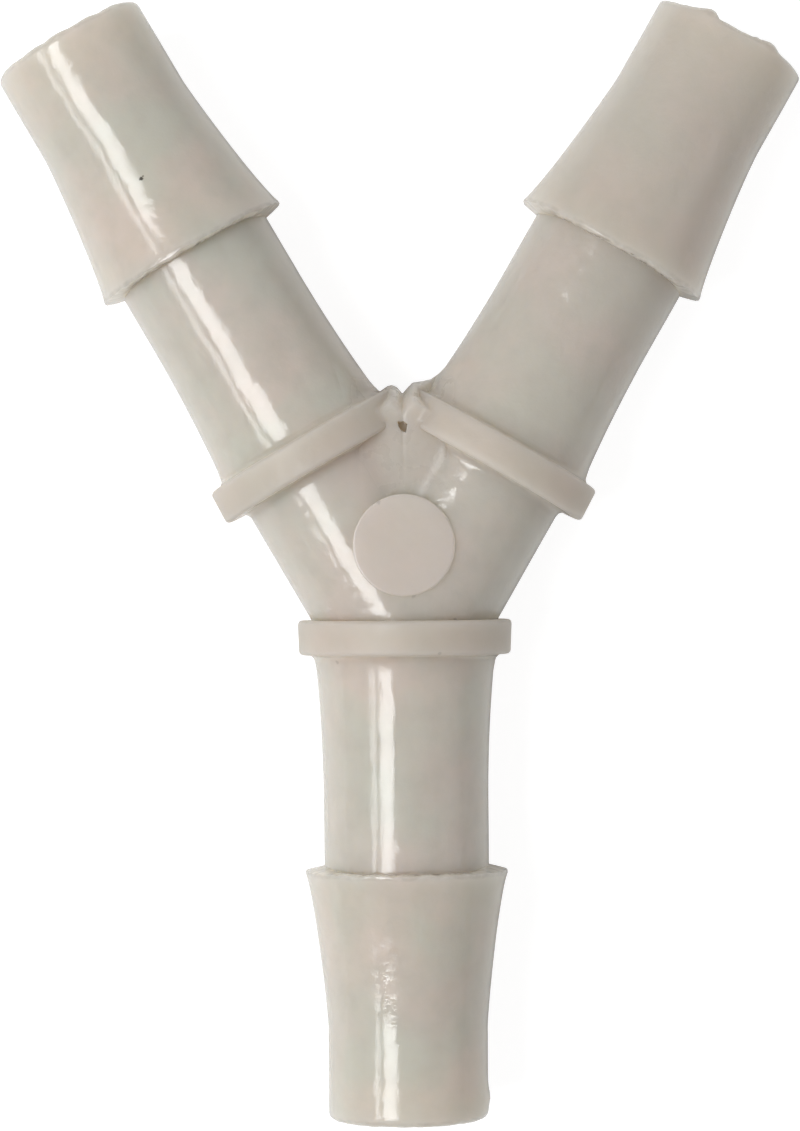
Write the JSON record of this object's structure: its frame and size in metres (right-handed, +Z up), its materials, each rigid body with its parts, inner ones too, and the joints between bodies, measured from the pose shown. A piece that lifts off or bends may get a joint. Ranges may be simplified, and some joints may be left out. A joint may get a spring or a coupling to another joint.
{
  "type": "tubing y connector",
  "caption": "Moulded plastic hose connector in a Y shape, with barbed ports, hose-stop collars and a hub with a flat round pad on each face.",
  "frame": {"origin": "middle of the fitting's length, on its plane of symmetry, on the surface that it lies on", "axes": "+Y runs from the stem to the pair of arms, +X to the right-hand arm, +Z up from the surface"},
  "size_m": [0.0462, 0.0646, 0.0123],
  "materials": {
    "natural_polypropylene": "milky translucent polypropylene, semi-gloss as moulded"
  },
  "bodies": {
    "root": {"y_connector": "natural_polypropylene"}
  },
  "joints": []
}
